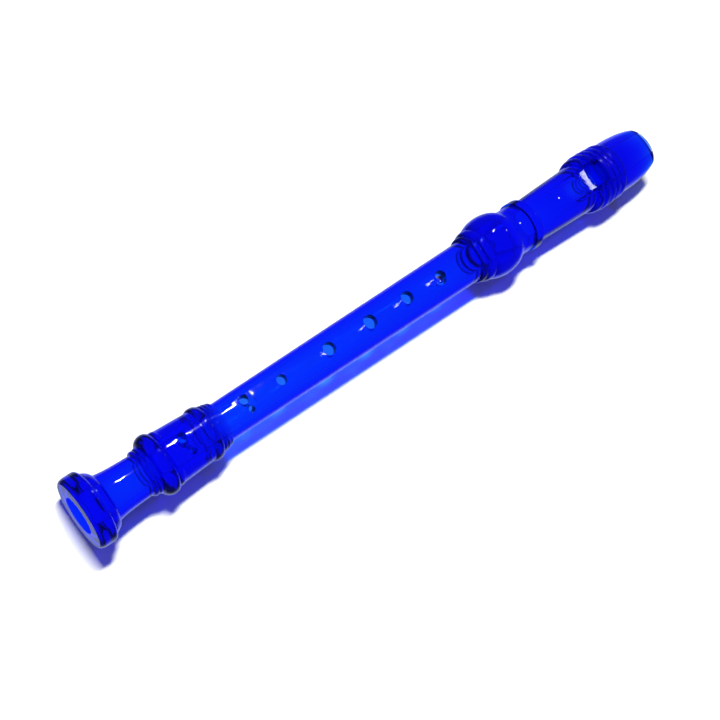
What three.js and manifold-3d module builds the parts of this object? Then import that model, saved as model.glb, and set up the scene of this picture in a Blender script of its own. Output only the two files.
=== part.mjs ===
// A soprano recorder in clear blue moulded plastic: head joint, mouthpiece, block, middle joint and foot joint.
// Millimetres, +Z up. The bore runs along X, with the bell at -X and the beak at +X. The finger holes face up
// and the thumb hole faces down. The recorder lies on z = 0, on its bell rim and on the ball of the head joint.
import * as THREE from "three";
import { mergeVertices } from "three/addons/utils/BufferGeometryUtils.js";
import Module from "manifold-3d";

const wasm = await Module();
wasm.setup();

// ---- Driving dimensions. Every "station" is a distance along the bore from the bell's end face. ----
const LENGTH = 325; // bell face to beak tip
const REST_RADIUS = 15.2; // bell rim and head ball, the two places that the recorder lies on
const SIDES = 36; // flat sides around each turned surface
const GAP = 0.3; // clearance between pieces

const FOOT_END = 64.6; // mouth of the foot's socket
const HEAD_START = 203.6; // mouth of the head's socket
const HEAD_END = 298.6; // seam between head joint and mouthpiece
const BLOCK_LINE = 288; // inner end of the block, where the windway opens on the window
const LABIUM_EDGE = 284; // sharp edge that splits the air

const LOWER_TENON = { length: 12, radius: 7.8 };
const UPPER_TENON = { length: 20, radius: 9.3 };
const TUBE_LOW_RADIUS = 8.4; // middle joint at the foot
const TUBE_HIGH_RADIUS = 9.9; // middle joint at the head

const BELL_BORE = 8; // bore at the bell's end face
const CHOKE_BORE = 5; // narrowest bore, in the foot
const LOW_BORE = 5.3; // middle joint's bore at the foot
const HIGH_BORE = 6.5; // middle joint's bore at the head
const HEAD_BORE = 6.9;

const WINDWAY = { width: 11.2, floor: 6.2, roof: 7.5 }; // heights above the bore's axis
const WINDOW_WIDTH = 11.4;
const RAMP = { start: 260, startHeight: 12, lip: 279, lipHeight: 7.4 }; // slopes down to a flat lip
const BALL = { station: 219.2, length: 20.8, base: 9.5 }; // the ball swells from the base radius
const SPIGOT = { length: 4, radius: 9 }; // sleeve that carries the mouthpiece
const TIP = { top: 8.7, underside: 1.9, roofRadius: 14.6, roofSlope: 10.5 }; // the slope is in degrees
const CUT_TOP = 20; // above every surface, for cutters that are open upwards

// Finger holes, from the bell up: station, radius of the hole and its angle from straight up in degrees.
const FOOT_HOLES = [
  { station: 46, radius: 2, angle: -10 },
  { station: 47, radius: 1.3, angle: 24 },
];
const MIDDLE_HOLES = [
  { station: 76, radius: 2, angle: -12 },
  { station: 76.6, radius: 1.3, angle: 22 },
  { station: 93.7, radius: 2.2, angle: 0 },
  { station: 118.7, radius: 2.8, angle: 0 },
  { station: 141.2, radius: 3, angle: 0 },
  { station: 162.3, radius: 2.8, angle: 0 },
  { station: 182, radius: 2.4, angle: 0 },
  { station: 190, radius: 2.7, angle: 180 },
];
const SCOOP = { start: 72.3, end: 79.8, depth: 0.5 }; // flat that the sixth, double hole is cut through

// ---- Helpers ----
const ALONG_X = new THREE.Matrix4().makeBasis(
  new THREE.Vector3(0, 1, 0),
  new THREE.Vector3(0, 0, 1),
  new THREE.Vector3(1, 0, 0),
);

function solid(geometry) {
  const bare = geometry.clone();
  bare.deleteAttribute("normal");
  bare.deleteAttribute("uv");
  const merged = mergeVertices(bare, 1e-4);
  const mesh = new wasm.Mesh({
    numProp: 3,
    vertProperties: new Float32Array(merged.attributes.position.array),
    triVerts: new Uint32Array(merged.index.array),
  });
  mesh.merge();
  return new wasm.Manifold(mesh);
}

function meshOf(name, shape, material) {
  const data = shape.getMesh();
  const geometry = new THREE.BufferGeometry();
  geometry.setAttribute("position", new THREE.BufferAttribute(data.vertProperties, 3));
  geometry.setIndex(new THREE.BufferAttribute(data.triVerts, 1));
  geometry.computeVertexNormals();
  const mesh = new THREE.Mesh(geometry, material);
  mesh.name = name;
  return mesh;
}

// Turns an outline of (radius, station) points around the bore's axis, with a flat side at the top and bottom.
function turned(outline, curveSteps) {
  const geometry = new THREE.LatheGeometry(outline.getPoints(curveSteps), SIDES, Math.PI / SIDES);
  geometry.rotateZ(-Math.PI / 2);
  return solid(geometry);
}

// A straight-sided cutter: an outline of [station, height] points, as wide as stated across the recorder.
function sideCut(points, width) {
  const shape = new THREE.Shape(points.map(([station, height]) => new THREE.Vector2(station, height)));
  const geometry = new THREE.ExtrudeGeometry(shape, { depth: width, bevelEnabled: false });
  geometry.rotateX(Math.PI / 2);
  geometry.translate(0, width / 2, 0);
  return solid(geometry);
}

// A drill from the axis outwards, at a station and an angle from straight up.
function drill({ station, radius, angle }) {
  const reach = 20;
  const geometry = new THREE.CylinderGeometry(radius, radius, reach, 16);
  geometry.rotateX(Math.PI / 2);
  geometry.translate(0, 0, reach / 2);
  geometry.rotateX(THREE.MathUtils.degToRad(angle));
  geometry.translate(station, 0, 0);
  return solid(geometry);
}

function drilled(shape, holes) {
  return holes.reduce((rest, hole) => rest.subtract(drill(hole)), shape);
}

// Adds a rounded turning that rises to a peak radius between two stations and comes back to the end radius.
function bead(outline, start, end, peak, endRadius) {
  const from = outline.currentPoint.x;
  const base = (from + endRadius) / 2;
  const pull = base + (peak - base) / 0.75;
  outline.lineTo(from, start);
  outline.bezierCurveTo(pull, start, pull, end, endRadius, end);
}

// Adds a flat-topped band with square shoulders.
function band(outline, start, end, radius, endRadius) {
  outline.lineTo(outline.currentPoint.x, start);
  outline.lineTo(radius, start + 0.3);
  outline.lineTo(radius, end - 0.3);
  outline.lineTo(endRadius, end);
}

function tubeRadius(station) {
  const along = (station - FOOT_END) / (HEAD_START - FOOT_END);
  return THREE.MathUtils.lerp(TUBE_LOW_RADIUS, TUBE_HIGH_RADIUS, along);
}

// ---- Foot joint: bell, neck, turned ball, barrel with the last hole, and socket ----
function footJoint() {
  const socketFloor = FOOT_END - LOWER_TENON.length - GAP;
  const socketRadius = LOWER_TENON.radius + GAP;
  const outline = new THREE.Path();
  outline.moveTo(BELL_BORE, 0);
  outline.lineTo(REST_RADIUS - 1.2, 0);
  outline.quadraticCurveTo(REST_RADIUS, 0.4, REST_RADIUS, 3.2);
  outline.lineTo(REST_RADIUS, 6);
  outline.quadraticCurveTo(REST_RADIUS, 7.6, 13.2, 7.8);
  bead(outline, 8.2, 11.4, 12.4, 10.1);
  outline.quadraticCurveTo(9, 15.5, 8.8, 27.4);
  bead(outline, 27.6, 29.4, 9.9, 9.3);
  bead(outline, 29.6, 31.2, 10.1, 9.6);
  bead(outline, 31.4, 37.6, 13.1, 11.2);
  bead(outline, 37.8, 40, 11.9, 11.6);
  outline.lineTo(10.9, 55);
  bead(outline, 55.2, 59.6, 11.7, 10.2);
  bead(outline, 59.9, 61.4, 10.5, 9.9);
  bead(outline, 61.6, 62.9, 10.2, 9.7);
  outline.quadraticCurveTo(9.9, FOOT_END, 9.2, FOOT_END);
  outline.lineTo(socketRadius, FOOT_END);
  outline.lineTo(socketRadius, socketFloor);
  outline.lineTo(LOW_BORE, socketFloor);
  outline.lineTo(CHOKE_BORE, 30);
  outline.quadraticCurveTo(5.6, 8, BELL_BORE, 0);
  return drilled(turned(outline, 4), FOOT_HOLES);
}

// ---- Middle joint: tapered tube between two tenons, with its finger holes and thumb hole ----
function middleJoint() {
  const low = FOOT_END + GAP;
  const high = HEAD_START - GAP;
  const outline = new THREE.Path();
  outline.moveTo(LOW_BORE, FOOT_END - LOWER_TENON.length);
  outline.lineTo(LOWER_TENON.radius, FOOT_END - LOWER_TENON.length);
  outline.lineTo(LOWER_TENON.radius, low);
  outline.lineTo(tubeRadius(low), low);
  outline.lineTo(tubeRadius(high), high);
  outline.lineTo(UPPER_TENON.radius, high);
  outline.lineTo(UPPER_TENON.radius, HEAD_START + UPPER_TENON.length);
  outline.lineTo(HIGH_BORE, HEAD_START + UPPER_TENON.length);
  outline.lineTo(LOW_BORE, FOOT_END - LOWER_TENON.length);
  const flat = tubeRadius(SCOOP.start) - SCOOP.depth;
  const scoop = sideCut(
    [[SCOOP.start, flat], [SCOOP.end, flat], [SCOOP.end, CUT_TOP], [SCOOP.start, CUT_TOP]],
    2 * TUBE_HIGH_RADIUS,
  );
  return drilled(turned(outline, 1).subtract(scoop), MIDDLE_HOLES);
}

// ---- Windway: the slot above the block, cut in both the head joint and the mouthpiece ----
function windwaySlot() {
  const start = LABIUM_EDGE + 1;
  const roof = WINDWAY.roof;
  return sideCut([[start, 0], [LENGTH + 5, 0], [LENGTH + 5, roof], [start, roof]], WINDWAY.width);
}

// ---- Window: a curved ramp down to the flat lip of the labium, and the opening between the lip and the block ----
function windowCut() {
  const ramp = new THREE.QuadraticBezierCurve(
    new THREE.Vector2(RAMP.start, RAMP.startHeight),
    new THREE.Vector2(RAMP.lip - 9, RAMP.lipHeight + 0.4),
    new THREE.Vector2(RAMP.lip, RAMP.lipHeight),
  );
  const opening = [
    [LABIUM_EDGE, RAMP.lipHeight],
    [LABIUM_EDGE, 0],
    [BLOCK_LINE, 0],
    [BLOCK_LINE, CUT_TOP],
    [RAMP.start, CUT_TOP],
  ];
  return sideCut([...ramp.getPoints(8).map((point) => [point.x, point.y]), ...opening], WINDOW_WIDTH);
}

// ---- Head joint: socket, ball, waist, tube with the window, ring stack and the sleeve for the mouthpiece ----
function headJoint() {
  const socketFloor = HEAD_START + UPPER_TENON.length + GAP;
  const socketRadius = UPPER_TENON.radius + GAP;
  const outline = new THREE.Path();
  outline.moveTo(socketRadius, HEAD_START);
  outline.lineTo(10.5, HEAD_START);
  bead(outline, HEAD_START + 0.1, 206.2, 11.3, 11);
  bead(outline, 206.5, 210.4, 12.5, 12.2);
  outline.absellipse(BALL.base, BALL.station, REST_RADIUS - BALL.base, BALL.length / 2, -0.95, 1.1, false);
  outline.quadraticCurveTo(11.2, 231, 11.5, 236.6);
  band(outline, 237, 241.6, 12.3, 10.6);
  outline.lineTo(11.2, 256);
  outline.lineTo(12, 279.4);
  bead(outline, 279.8, 283.6, 14, 13.4);
  bead(outline, 284, 287.6, 14.6, 13.6);
  bead(outline, 288, 291.4, 14.6, 13.6);
  bead(outline, 291.8, 295, 14.4, 13.4);
  bead(outline, 295.2, HEAD_END, 14.2, 13.8);
  outline.lineTo(SPIGOT.radius, HEAD_END);
  outline.lineTo(SPIGOT.radius, HEAD_END + SPIGOT.length);
  outline.lineTo(HEAD_BORE, HEAD_END + SPIGOT.length);
  outline.lineTo(HEAD_BORE, socketFloor);
  outline.lineTo(socketRadius, socketFloor);
  outline.lineTo(socketRadius, HEAD_START);
  return turned(outline, 4).subtract(windwaySlot()).subtract(windowCut());
}

// ---- Beak cutters: the concave underside for the lips, and the sloping arched top ----
function underside() {
  const start = new THREE.Vector2(HEAD_END + 1, -REST_RADIUS);
  const curve = new THREE.QuadraticBezierCurve(
    start,
    new THREE.Vector2(308, -2.5),
    new THREE.Vector2(LENGTH + 1, TIP.underside),
  );
  const below = [[LENGTH + 1, -CUT_TOP], [start.x, -CUT_TOP]];
  return sideCut([...curve.getPoints(10).map((point) => [point.x, point.y]), ...below], 40);
}

function archedTop() {
  const length = 60;
  const slope = THREE.MathUtils.degToRad(TIP.roofSlope);
  const geometry = new THREE.CylinderGeometry(TIP.roofRadius, TIP.roofRadius, length, 48);
  geometry.rotateZ(-Math.PI / 2);
  geometry.translate(0, 0, -TIP.roofRadius / Math.cos(slope));
  geometry.rotateY(slope);
  geometry.translate(LENGTH, 0, TIP.top);
  return solid(geometry);
}

// ---- Mouthpiece: beak shell over the block ----
function mouthpiece() {
  const start = HEAD_END + GAP;
  const counterbore = HEAD_END + SPIGOT.length + GAP;
  const outline = new THREE.Path();
  outline.moveTo(SPIGOT.radius + GAP, start);
  outline.lineTo(13.8, start);
  outline.quadraticCurveTo(14.7, 306, 13.9, 313);
  outline.quadraticCurveTo(13.4, 318, 10.9, LENGTH);
  outline.lineTo(HEAD_BORE, LENGTH);
  outline.lineTo(HEAD_BORE, counterbore);
  outline.lineTo(SPIGOT.radius + GAP, counterbore);
  outline.lineTo(SPIGOT.radius + GAP, start);
  return turned(outline, 5).intersect(archedTop()).subtract(windwaySlot()).subtract(underside());
}

// ---- Block: the plug that closes the bore under the windway ----
function block() {
  const radius = HEAD_BORE - GAP;
  const halfFloor = WINDWAY.width / 2 - GAP;
  const shoulder = Math.acos(halfFloor / radius);
  const section = new THREE.Shape();
  section.moveTo(halfFloor, WINDWAY.floor);
  section.lineTo(-halfFloor, WINDWAY.floor);
  section.absarc(0, 0, radius, Math.PI - shoulder, 2 * Math.PI + shoulder, false);
  section.lineTo(halfFloor, WINDWAY.floor);
  const start = BLOCK_LINE + GAP;
  const options = { depth: LENGTH - start, bevelEnabled: false, curveSegments: 24 };
  const geometry = new THREE.ExtrudeGeometry(section, options);
  geometry.applyMatrix4(ALONG_X);
  geometry.translate(start, 0, 0);
  return solid(geometry).subtract(underside());
}

// ---- Assembly ----
const clearBlue = new THREE.MeshStandardMaterial({
  color: 0x0818f0,
  roughness: 0.06,
  metalness: 0,
  transparent: true,
  opacity: 0.6,
});

const recorder = new THREE.Group();
recorder.name = "soprano_recorder";
recorder.add(meshOf("head_joint", headJoint(), clearBlue));
recorder.add(meshOf("mouthpiece", mouthpiece(), clearBlue));
recorder.add(meshOf("block", block(), clearBlue));
recorder.add(meshOf("middle_joint", middleJoint(), clearBlue));
recorder.add(meshOf("foot_joint", footJoint(), clearBlue));
recorder.position.set(-LENGTH / 2, 0, REST_RADIUS * Math.cos(Math.PI / SIDES));

export default recorder;
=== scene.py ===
"""The looks of a soprano recorder in clear blue moulded plastic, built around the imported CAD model.

Each joint is rebuilt as a fine turned and drilled solid in millimetres, with stations measured along the bore
from the bell's end face and heights measured from the bore's axis, and then placed in the CAD frame.
"""

import math

import bmesh
import bpy
from mathutils import Matrix, Vector


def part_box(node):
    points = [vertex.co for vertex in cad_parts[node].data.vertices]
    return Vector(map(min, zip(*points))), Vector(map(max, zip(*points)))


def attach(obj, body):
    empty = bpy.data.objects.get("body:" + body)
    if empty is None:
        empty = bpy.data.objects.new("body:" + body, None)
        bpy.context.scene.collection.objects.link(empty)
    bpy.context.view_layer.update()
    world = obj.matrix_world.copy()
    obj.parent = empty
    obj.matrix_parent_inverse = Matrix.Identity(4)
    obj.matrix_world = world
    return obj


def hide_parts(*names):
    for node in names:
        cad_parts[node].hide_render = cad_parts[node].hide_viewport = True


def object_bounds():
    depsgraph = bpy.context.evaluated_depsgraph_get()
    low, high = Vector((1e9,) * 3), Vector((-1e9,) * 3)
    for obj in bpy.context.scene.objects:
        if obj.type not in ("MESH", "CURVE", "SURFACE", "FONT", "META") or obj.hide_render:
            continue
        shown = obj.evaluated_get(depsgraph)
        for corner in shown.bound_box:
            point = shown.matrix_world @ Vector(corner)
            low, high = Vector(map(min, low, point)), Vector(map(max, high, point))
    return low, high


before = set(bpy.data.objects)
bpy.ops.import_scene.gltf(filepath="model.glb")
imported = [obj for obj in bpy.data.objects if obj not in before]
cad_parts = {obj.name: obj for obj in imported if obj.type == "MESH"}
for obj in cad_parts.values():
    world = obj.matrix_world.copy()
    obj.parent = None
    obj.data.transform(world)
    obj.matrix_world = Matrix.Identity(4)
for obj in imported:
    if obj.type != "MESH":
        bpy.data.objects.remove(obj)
CAD_LOW, CAD_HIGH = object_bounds()

# ---- The CAD frame, in millimetres from the bell's end face ----
MM = 0.001
FOOT_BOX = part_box("foot_joint")
AXIS_HEIGHT = (FOOT_BOX[0][2] + FOOT_BOX[1][2]) / 2


def station_of(node, corner):
    """Where a CAD node starts (corner 0) or ends (corner 1) along the bore."""
    return (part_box(node)[corner][0] - CAD_LOW[0]) / MM


LENGTH = station_of("mouthpiece", 1)
FOOT_END = station_of("foot_joint", 1)
HEAD_START = station_of("head_joint", 0)
HEAD_END = station_of("mouthpiece", 0)
LOWER_TENON_START = station_of("middle_joint", 0)
UPPER_TENON_END = station_of("middle_joint", 1)
BLOCK_LINE = station_of("block", 0)
REST_RADIUS = AXIS_HEIGHT / MM

# ---- Shape, in millimetres ----
SIDES = 144  # flat sides around each turned surface
SEAM = -0.01  # a tenon is this much too big for its socket, because an air gap would shine like a mirror
GLUE = 0.02  # overlap of glued faces, for the same reason
LAP = 0.3  # how far the mouthpiece starts inside the last ring
EDGE_RADIUS = 0.32
ABOVE = 20.0  # beyond every surface, for cutters that are open upwards
BELOW = -25.0
ACROSS = 40.0
BORE = {"bell": 8.0, "choke": 5.0, "low": 5.3, "high": 6.5, "head": 6.9}
LOWER_TENON = 7.9
UPPER_TENON = 9.4
TUBE_LOW = 8.4
TUBE_HIGH = 9.9
LABIUM_EDGE = 284.0
WINDOW_WIDTH = 11.4
WINDWAY = {"width": 11.2, "floor": 6.2, "roof": 7.4}
RAMP = {"start": 260.0, "start_height": 12.0, "lip": 279.0, "lip_height": 7.4}
SPIGOT = {"length": 4.0, "radius": 9.0}
TIP = {"top": 8.7, "underside": 1.9}
BEAK = {"radius": 13.9, "swell": 2.0, "narrowing": 5.0}
ROOF = {"radius": 14.6, "slope": math.radians(10.5)}
FOOT_SURFACE = 11.15  # the foot's outside radius at its holes

FOOT_HOLES = [(46.0, 2.0, -10.0), (47.0, 1.3, 24.0)]
PAIRED_HOLES = [(76.0, 2.0, -12.0), (76.6, 1.3, 22.0)]
FINGER_HOLES = [(93.7, 2.2, 0.0), (118.7, 2.8, 0.0), (141.2, 3.0, 0.0), (162.3, 2.8, 0.0), (182.0, 2.4, 0.0)]
THUMB_HOLES = [(190.0, 2.7, 180.0)]
BLEND = 10  # how sharply the beak's roof meets its sides
SCOOP = {"start": 72.3, "end": 79.8, "depth": 0.5}


# ---- Outlines ----
class Outline:
    """A closed outline of (station, radius) points, drawn one stretch at a time."""

    def __init__(self, station, radius):
        self.points = [(station, radius)]

    def line(self, *points):
        self.points += points

    def curve(self, control, end, steps=14):
        """A quadratic curve pulled towards its control point."""
        start = self.points[-1]
        for step in range(1, steps + 1):
            t = step / steps
            weights = ((1 - t) ** 2, 2 * t * (1 - t), t * t)
            self.points.append(tuple(
                sum(weight * point[axis] for weight, point in zip(weights, (start, control, end)))
                for axis in (0, 1)
            ))

    def bead(self, start, end, peak, end_radius, steps=18):
        """Half an ellipse that stands on the line between its two ends."""
        from_radius = self.points[-1][1]
        middle = (start + end) / 2
        rise = peak - (from_radius + end_radius) / 2
        self.line((start, from_radius))
        for step in range(1, steps + 1):
            t = step / steps
            base = from_radius + (end_radius - from_radius) * t
            swell = rise * math.sin(math.pi * t) ** 0.85
            self.points.append((middle - (end - start) / 2 * math.cos(math.pi * t), base + swell))

    def band(self, start, end, radius, end_radius):
        """A flat-topped ring with square shoulders."""
        self.line((start, self.points[-1][1]), (start, radius), (end, radius), (end, end_radius))

    def ball(self, center, half_length, base, peak, first, last, steps=28):
        """Part of an ellipse that swells from a base radius; first and last are angles from the peak."""
        for step in range(steps + 1):
            angle = first + (last - first) * step / steps
            radius = base + (peak - base) * math.cos(angle)
            self.points.append((center + half_length * math.sin(angle), radius))


def softened(points, radius):
    """The same closed outline with every corner rounded off."""
    result = []
    count = len(points)
    for index, point in enumerate(points):
        here = Vector(point)
        before = Vector(points[index - 1]) - here
        after = Vector(points[(index + 1) % count]) - here
        if before.length < 1e-6 or after.length < 1e-6:
            continue
        turn = math.pi - before.angle(after)
        if turn < math.radians(24):
            result.append(point)
            continue
        reach = min(radius * math.tan(turn / 2), 0.45 * before.length, 0.45 * after.length)
        first = here + before.normalized() * reach
        last = here + after.normalized() * reach
        for step in range(4):
            t = step / 3
            result.append(tuple(first * (1 - t) ** 2 + here * (2 * t * (1 - t)) + last * t * t))
    return result


def braced(points, longest=2.0, reach=0.3):
    """The same closed outline with an extra point near each end of its long stretches.

    Smooth shading blends the surface's direction from point to point. Without these points, a corner tilts
    the shading of the whole stretch beside it.
    """
    result = []
    for index, point in enumerate(points):
        here = Vector(point)
        ahead = Vector(points[(index + 1) % len(points)]) - here
        result.append(point)
        if ahead.length > longest:
            step = ahead.normalized() * reach
            result.append(tuple(here + step))
            result.append(tuple(here + ahead - step))
    return result


# ---- Solids ----
def solid(name, vertices, faces):
    mesh = bpy.data.meshes.new(name)
    mesh.from_pydata(vertices, [], faces)
    work = bmesh.new()
    work.from_mesh(mesh)
    bmesh.ops.remove_doubles(work, verts=work.verts, dist=1e-5)
    bmesh.ops.recalc_face_normals(work, faces=work.faces)
    work.to_mesh(mesh)
    work.free()
    piece = bpy.data.objects.new(name, mesh)
    bpy.context.scene.collection.objects.link(piece)
    return piece


def tube_faces(rings, sides, closed):
    """Faces that join rings of points, each ring to the next, with end caps unless the rings close up."""
    spans = rings if closed else rings - 1
    faces = []
    for ring in range(spans):
        after = (ring + 1) % rings
        for side in range(sides):
            beside = (side + 1) % sides
            low, high = ring * sides, after * sides
            faces.append((low + side, low + beside, high + beside, high + side))
    if not closed:
        faces.append(tuple(range(sides)))
        faces.append(tuple(range((rings - 1) * sides, rings * sides)))
    return faces


def turned(name, outline):
    """A solid of revolution around the bore's axis."""
    points = braced(softened(outline.points, EDGE_RADIUS))
    vertices = []
    for station, radius in points:
        for side in range(SIDES):
            angle = 2 * math.pi * side / SIDES
            vertices.append((station, radius * math.sin(angle), radius * math.cos(angle)))
    return solid(name, vertices, tube_faces(len(points), SIDES, closed=True))


def prism(name, points, width):
    """A straight-sided solid: an outline of (station, height) points, with a width across the recorder."""
    count = len(points)
    vertices = [(station, side * width / 2, height) for side in (-1, 1) for station, height in points]
    return solid(name, vertices, tube_faces(2, count, closed=False))


def drill(station, radius, angle, surface, edge=0.3, sides=48):
    """A cutter for a finger hole, with a rounded lip that follows the tube's surface."""
    rings = [(radius, None), (radius, -edge)]
    for step in range(1, 5):
        t = math.pi / 2 * step / 5
        rings.append((radius + edge * (1 - math.cos(t)), edge * (math.sin(t) - 1)))
    rings.append((radius + 2 * edge, 2 * edge))
    vertices = []
    for reach, lift in rings:
        for side in range(sides):
            turn = 2 * math.pi * side / sides
            across = reach * math.sin(turn)
            height = 2.0 if lift is None else math.sqrt(surface**2 - across**2) + lift
            vertices.append((reach * math.cos(turn), across, height))
    cutter = solid("drill", vertices, tube_faces(len(rings), sides, closed=False))
    place = Matrix.Translation((station, 0, 0)) @ Matrix.Rotation(math.radians(angle), 4, "X")
    cutter.data.transform(place)
    return cutter


def bake(piece):
    """Keeps the result of the modifiers as the piece's own mesh."""
    graph = bpy.context.evaluated_depsgraph_get()
    mesh = bpy.data.meshes.new_from_object(piece.evaluated_get(graph))
    piece.modifiers.clear()
    piece.data = mesh


def cut(piece, *cutters):
    for cutter in cutters:
        modifier = piece.modifiers.new("cut", "BOOLEAN")
        modifier.operation = "DIFFERENCE"
        modifier.solver = "EXACT"
        modifier.object = cutter
        bake(piece)
        bpy.data.objects.remove(cutter)
    return piece


# ---- Foot joint ----
def tube_radius(station):
    along = (station - FOOT_END) / (HEAD_START - FOOT_END)
    return TUBE_LOW + (TUBE_HIGH - TUBE_LOW) * along


def foot_joint():
    socket = LOWER_TENON + SEAM
    socket_floor = LOWER_TENON_START - SEAM
    shape = Outline(0, BORE["bell"])
    shape.line((0, REST_RADIUS - 1.3))
    shape.curve((0.4, REST_RADIUS), (3.2, REST_RADIUS))
    shape.line((6.0, REST_RADIUS))
    shape.curve((7.5, REST_RADIUS), (7.8, 13.2))
    shape.bead(8.2, 11.4, 12.4, 10.1)
    shape.curve((15.5, 9.0), (27.4, 8.8))
    shape.bead(27.6, 29.4, 9.9, 9.3)
    shape.bead(29.6, 31.2, 10.1, 9.6)
    shape.bead(31.4, 37.6, 13.1, 11.2)
    shape.bead(37.8, 40.0, 11.9, 11.6)
    shape.line((55.0, 10.9))
    shape.bead(55.2, 59.6, 11.7, 10.2)
    shape.bead(59.9, 61.4, 10.5, 9.9)
    shape.bead(61.6, 62.9, 10.2, 9.7)
    shape.curve((FOOT_END, 9.9), (FOOT_END, 9.2))
    shape.line((FOOT_END, socket), (socket_floor, socket), (socket_floor, BORE["low"]), (30.0, BORE["choke"]))
    shape.curve((8.0, 5.6), (0.0, BORE["bell"]))
    shape.points.pop()
    piece = turned("foot_joint_clear", shape)
    return cut(piece, *[drill(*hole, surface=FOOT_SURFACE) for hole in FOOT_HOLES])


# ---- Middle joint ----
def middle_joint():
    shape = Outline(LOWER_TENON_START, BORE["low"])
    shape.line((LOWER_TENON_START, LOWER_TENON), (FOOT_END + SEAM, LOWER_TENON))
    shape.line((FOOT_END + SEAM, TUBE_LOW), (HEAD_START - SEAM, TUBE_HIGH))
    shape.line((HEAD_START - SEAM, UPPER_TENON), (UPPER_TENON_END, UPPER_TENON))
    shape.line((UPPER_TENON_END, BORE["high"]))
    piece = turned("middle_joint_clear", shape)
    flat = tube_radius(SCOOP["start"]) - SCOOP["depth"]
    corners = [(SCOOP["start"], flat), (SCOOP["end"], flat), (SCOOP["end"], ABOVE), (SCOOP["start"], ABOVE)]
    cut(piece, prism("scoop", corners, ACROSS))
    holes = PAIRED_HOLES + FINGER_HOLES + THUMB_HOLES
    return cut(piece, *[drill(*hole, surface=tube_radius(hole[0])) for hole in holes])


# ---- Head joint ----
def windway_slot():
    start = LABIUM_EDGE + 1
    roof = WINDWAY["roof"]
    corners = [(start, 0.0), (LENGTH + 5, 0.0), (LENGTH + 5, roof), (start, roof)]
    return prism("windway", corners, WINDWAY["width"])


def head_joint():
    socket = UPPER_TENON + SEAM
    socket_floor = UPPER_TENON_END + SEAM
    end = HEAD_END + GLUE
    shape = Outline(HEAD_START, socket)
    shape.line((HEAD_START, 10.5))
    shape.bead(HEAD_START + 0.1, 206.2, 11.3, 11.0)
    shape.bead(206.5, 210.4, 12.5, 12.2)
    shape.ball(219.2, 10.4, 9.5, 14.8, -0.95, 1.1)
    shape.curve((231.0, 11.2), (236.6, 11.5))
    shape.band(237.0, 241.6, 12.3, 10.6)
    shape.line((256.0, 11.2), (279.4, 12.0))
    shape.bead(279.8, 283.6, 14.0, 13.4)
    shape.bead(284.0, 287.6, 14.6, 13.6)
    shape.bead(288.0, 291.4, 14.6, 13.6)
    shape.bead(291.8, 295.0, 14.4, 13.4)
    shape.bead(295.2, end, 14.2, 13.8)
    shape.line((end, SPIGOT["radius"]), (end + SPIGOT["length"], SPIGOT["radius"]))
    shape.line((end + SPIGOT["length"], BORE["head"]), (socket_floor, BORE["high"]), (socket_floor, socket))
    piece = turned("head_joint_clear", shape)
    ramp = Outline(RAMP["start"], RAMP["start_height"])
    ramp.curve((RAMP["lip"] - 9.0, RAMP["lip_height"] + 0.4), (RAMP["lip"], RAMP["lip_height"]), steps=24)
    ramp.line((LABIUM_EDGE, RAMP["lip_height"]), (LABIUM_EDGE, 0.0), (BLOCK_LINE, 0.0), (BLOCK_LINE, ABOVE))
    ramp.line((RAMP["start"], ABOVE))
    return cut(piece, windway_slot(), prism("window", ramp.points, WINDOW_WIDTH))


# ---- Mouthpiece ----
def underside():
    start = (HEAD_END + 1.0, -14.5)
    outline = Outline(*start)
    outline.curve((308.0, -2.5), (LENGTH + 1, TIP["underside"]), steps=24)
    outline.line((LENGTH + 1, BELOW), (start[0], BELOW))
    return prism("underside", outline.points, ACROSS)


def beak_section(station, sides):
    """The beak's outside at one station: a round section under an arched roof, blended by a soft minimum."""
    body = beak_radius(station)
    roof = TIP["top"] + (LENGTH - station) * math.tan(ROOF["slope"])
    middle = min(roof - 8.0, 0.5)
    points = []
    for side in range(sides):
        angle = 2 * math.pi * side / sides
        direction = Vector((math.sin(angle), math.cos(angle)))
        circles = ((0.0, body), (roof - ROOF["radius"], ROOF["radius"]))
        reaches = [ray_to_circle(middle, direction, *circle) for circle in circles]
        reach = sum(value**-BLEND for value in reaches) ** (-1 / BLEND)
        points.append((station, direction.x * reach, middle + direction.y * reach))
    return points


def ray_to_circle(height, direction, center, radius):
    """How far a ray from the section's middle goes before it meets a circle."""
    offset = height - center
    along = offset * direction.y
    return -along + math.sqrt(along * along - offset * offset + radius * radius)


def beak_radius(station):
    """Half the beak's width: it swells behind the rings and narrows to the tip."""
    along = max(0.0, (station - HEAD_END) / (LENGTH - HEAD_END))
    return BEAK["radius"] + BEAK["swell"] * along - BEAK["narrowing"] * along**2.5


def mouthpiece():
    start = HEAD_END - LAP
    steps = 40
    vertices = []
    for step in range(steps + 1):
        vertices += beak_section(start + (LENGTH - start) * step / steps, SIDES)
    piece = solid("mouthpiece_clear", vertices, tube_faces(steps + 1, SIDES, closed=False))
    hollow = Outline(start - 1, 0.001)
    sleeve = SPIGOT["radius"] - GLUE
    floor_of_sleeve = HEAD_END + SPIGOT["length"] - GLUE
    hollow.line((start - 1, sleeve), (floor_of_sleeve, sleeve))
    hollow.line((floor_of_sleeve, BORE["head"]), (LENGTH + 2, BORE["head"]), (LENGTH + 2, 0.001))
    return cut(piece, turned("hollow", hollow), windway_slot(), underside())


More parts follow.
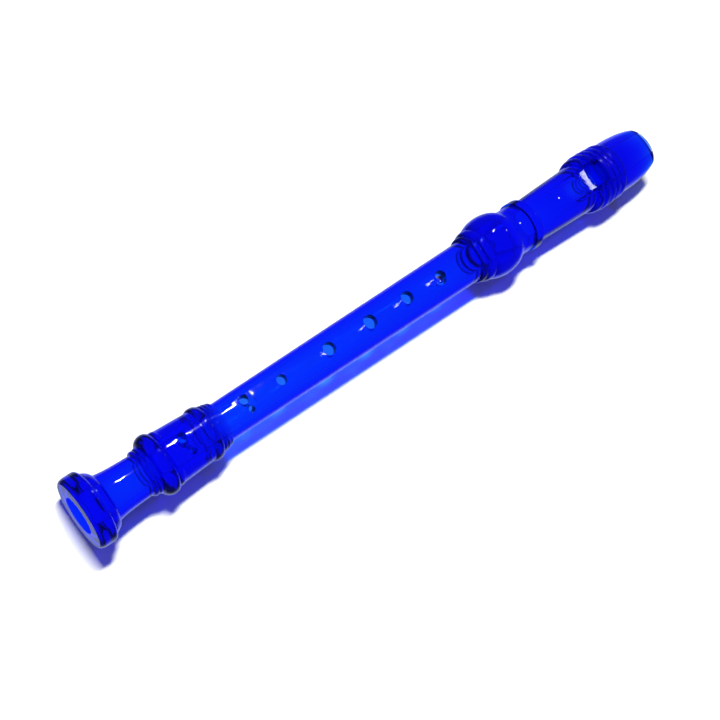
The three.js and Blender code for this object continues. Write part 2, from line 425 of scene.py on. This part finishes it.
# ---- Block ----
def block():
    radius = BORE["head"] + GLUE
    floor = WINDWAY["floor"]
    half = WINDWAY["width"] / 2 + GLUE
    shoulder = math.asin(half / radius)
    steps = 60
    section = [(half, floor), (-half, floor)]
    for step in range(steps + 1):
        angle = -shoulder - (2 * math.pi - 2 * shoulder) * step / steps
        section.append((radius * math.sin(angle), radius * math.cos(angle)))
    vertices = [(station, across, height) for station in (BLOCK_LINE, LENGTH) for across, height in section]
    piece = solid("block_clear", vertices, tube_faces(2, len(section), closed=False))
    return cut(piece, underside())


# ---- Material ----
SHADOW_BLUE = 0.92  # blue light in the shadow, as a share of its red and green light, for each surface passed
DEPTH_COLOR = (0.0, 0.59, 0.986, 1.0)
DEPTH_DENSITY = 1100.0  # per metre
# Size of the bumps as a noise scale, how much they stretch along the bore, and their height in metres.
SKIN = ((70.0, 1.0, 0.00003), (260.0, 0.3, 0.00001), (1100.0, 1.0, 0.0000035))


def clear_plastic(name, seed, passing):
    """Clear blue plastic that darkens with depth, with faint flow marks and scuffs on its skin.

    Passing is the share of the lamp's light that gets through each surface in the shadow.
    """
    material = bpy.data.materials.new(name)
    material.use_nodes = True
    tree = material.node_tree
    shader = tree.nodes["Principled BSDF"]
    output = tree.nodes["Material Output"]
    shader.inputs["Base Color"].default_value = (0.86, 0.93, 1.0, 1.0)
    shader.inputs["Transmission Weight"].default_value = 1.0
    shader.inputs["IOR"].default_value = 1.5
    shader.inputs["Roughness"].default_value = 0.05
    lamp_light = tree.nodes.new("ShaderNodeBsdfTransparent")
    lamp_light.inputs["Color"].default_value = (passing, passing, SHADOW_BLUE * passing, 1.0)
    path = tree.nodes.new("ShaderNodeLightPath")
    either = tree.nodes.new("ShaderNodeMixShader")
    tree.links.new(path.outputs["Is Shadow Ray"], either.inputs["Fac"])
    tree.links.new(shader.outputs["BSDF"], either.inputs[1])
    tree.links.new(lamp_light.outputs["BSDF"], either.inputs[2])
    tree.links.new(either.outputs["Shader"], output.inputs["Surface"])
    absorb = tree.nodes.new("ShaderNodeVolumeAbsorption")
    absorb.inputs["Color"].default_value = DEPTH_COLOR
    absorb.inputs["Density"].default_value = DEPTH_DENSITY
    tree.links.new(absorb.outputs["Volume"], output.inputs["Volume"])
    place = tree.nodes.new("ShaderNodeTexCoord")
    normal = None
    for scale, stretch, depth in SKIN:
        grain = tree.nodes.new("ShaderNodeMapping")
        grain.inputs["Scale"].default_value = (stretch, 1.0, 1.0)
        noise = tree.nodes.new("ShaderNodeTexNoise")
        noise.noise_dimensions = "4D"
        noise.inputs["Scale"].default_value = scale
        noise.inputs["W"].default_value = seed
        noise.inputs["Detail"].default_value = 2.0
        bump = tree.nodes.new("ShaderNodeBump")
        bump.inputs["Distance"].default_value = depth
        tree.links.new(place.outputs["Object"], grain.inputs["Vector"])
        tree.links.new(grain.outputs["Vector"], noise.inputs["Vector"])
        tree.links.new(noise.outputs["Fac"], bump.inputs["Height"])
        if normal:
            tree.links.new(normal, bump.inputs["Normal"])
        normal = bump.outputs["Normal"]
    tree.links.new(normal, shader.inputs["Normal"])
    return material


def place_piece(piece, material, body, node):
    """Puts a finished solid in the CAD frame, in place of its CAD node."""
    piece.data.transform(Matrix.Translation((CAD_LOW[0], 0, AXIS_HEIGHT)) @ Matrix.Scale(MM, 4))
    piece.data.shade_smooth()
    piece.data.set_sharp_from_angle(angle=math.radians(32))
    piece.data.materials.clear()
    piece.data.materials.append(material)
    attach(piece, body)
    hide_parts(node)


# ---- Studio ----
def floor():
    """A pale floor. The plastic doesn't show it, because it sees the painted surroundings instead."""
    bpy.ops.mesh.primitive_plane_add(size=6.0, location=(0, 0, 0))
    plane = bpy.context.active_object
    plane.name = "floor"
    material = bpy.data.materials.new("pale_floor")
    material.use_nodes = True
    shader = material.node_tree.nodes["Principled BSDF"]
    shader.inputs["Base Color"].default_value = (0.9, 0.9, 0.9, 1.0)
    shader.inputs["Roughness"].default_value = 0.8
    shader.inputs["Specular IOR Level"].default_value = 0.1
    plane.data.materials.append(material)
    plane.visible_glossy = False
    plane.visible_transmission = False


def lamp(name, place, along, size, watts, mirrored, inside=False):
    """A rectangular lamp that faces the recorder, its first side along a given axis.

    A mirrored lamp shows only as a glint on the plastic, and inside it too if asked. Any other lamp only
    lights the floor.
    """
    data = bpy.data.lights.new(name, "AREA")
    data.shape = "RECTANGLE"
    data.size, data.size_y = size
    data.energy = watts
    light = bpy.data.objects.new(name, data)
    away = Vector(place).normalized()
    side = (Vector(along) - away * away.dot(Vector(along))).normalized()
    axes = Matrix((side, away.cross(side), away)).transposed()
    light.matrix_world = Matrix.Translation(place) @ axes.to_4x4()
    light.visible_glossy = mirrored
    light.visible_transmission = inside
    light.visible_diffuse = not mirrored
    bpy.context.scene.collection.objects.link(light)


def surroundings():
    """A painted surrounding, which each kind of ray sees differently.

    Through the plastic it is bright below and dimmer above. In mirrored light it is blue, a painted
    reflection of the blue shadow on the floor, and dim but for a pool of light below. It lights the floor
    dimly.
    """
    world = bpy.data.worlds.new("studio")
    world.use_nodes = True
    tree = world.node_tree
    direction = tree.nodes.new("ShaderNodeTexCoord")
    downward = tree.nodes.new("ShaderNodeVectorMath")
    downward.operation = "DOT_PRODUCT"
    downward.inputs[1].default_value = (0.45, 0.1, -0.88)
    pool = tree.nodes.new("ShaderNodeMapRange")
    pool.inputs["From Min"].default_value = 0.6
    pool.inputs["From Max"].default_value = 0.85
    pool.inputs["To Min"].default_value = 0.08
    pool.inputs["To Max"].default_value = 1.0
    tree.links.new(direction.outputs["Generated"], downward.inputs[0])
    tree.links.new(downward.outputs["Value"], pool.inputs["Value"])
    table = tree.nodes.new("ShaderNodeMapRange")
    table.inputs["From Min"].default_value = -0.3
    table.inputs["From Max"].default_value = 0.6
    table.inputs["To Min"].default_value = 0.4
    table.inputs["To Max"].default_value = 1.2
    tree.links.new(downward.outputs["Value"], table.inputs["Value"])
    path = tree.nodes.new("ShaderNodeLightPath")
    through = tree.nodes.new("ShaderNodeMix")
    tree.links.new(path.outputs["Is Transmission Ray"], through.inputs["Factor"])
    tree.links.new(pool.outputs["Result"], through.inputs["A"])
    tree.links.new(table.outputs["Result"], through.inputs["B"])
    # Painted reflection: mirrored light sees the surroundings tinted blue, standing in for the blue shadow on
    # the floor
    tint = tree.nodes.new("ShaderNodeMix")
    tint.data_type = "RGBA"
    tint.inputs["A"].default_value = (1.0, 1.0, 1.0, 1.0)
    tint.inputs["B"].default_value = (0.5, 0.58, 1.0, 1.0)
    tree.links.new(path.outputs["Is Glossy Ray"], tint.inputs["Factor"])
    light = tree.nodes["Background"]
    tree.links.new(tint.outputs["Result"], light.inputs["Color"])
    tree.links.new(through.outputs["Result"], light.inputs["Strength"])
    bpy.context.scene.world = world


def camera():
    """The camera looks down from beyond the bell, rolled so that the bore climbs to the right."""
    data = bpy.data.cameras.new("camera")
    data.sensor_width = 36.0
    data.lens = 55.0
    view = bpy.data.objects.new("camera", data)
    turn = Matrix((
        (0.745, 0.500, -0.441),
        (-0.548, 0.836, 0.022),
        (0.380, 0.226, 0.897),
    ))
    lean = Matrix.Rotation(math.radians(7.0), 4, "X")
    place = lean @ Matrix.Translation((-0.072837, 0, 0.415949)) @ turn.to_4x4()
    view.matrix_world = Matrix.Translation((CAD_LOW[0], 0, AXIS_HEIGHT)) @ place
    bpy.context.scene.collection.objects.link(view)
    bpy.context.scene.camera = view


bpy.context.scene.view_settings.view_transform = "Standard"
place_piece(foot_joint(), clear_plastic("clear_foot", 1.0, 0.52), "foot", "foot_joint")
place_piece(middle_joint(), clear_plastic("clear_middle", 2.0, 0.92), "middle", "middle_joint")
place_piece(head_joint(), clear_plastic("clear_head", 3.0, 0.58), "head", "head_joint")
place_piece(mouthpiece(), clear_plastic("clear_mouthpiece", 4.0, 0.5), "head", "mouthpiece")
place_piece(block(), clear_plastic("clear_block", 5.0, 0.5), "head", "block")
floor()
surroundings()
lamp("key", (-0.0575, 0.205, 0.7), (1, 0, 0), (0.2, 0.07), 9.8, mirrored=False)
lamp("flash", (0.432, 0.768, 1.328), (1, 0, 0), (0.1, 0.1), 7.0, mirrored=True, inside=True)
lamp("labium_card", (0.643, 0.076, 0.62), (0, 1, 0), (0.07, 0.06), 0.18, mirrored=True)
camera()
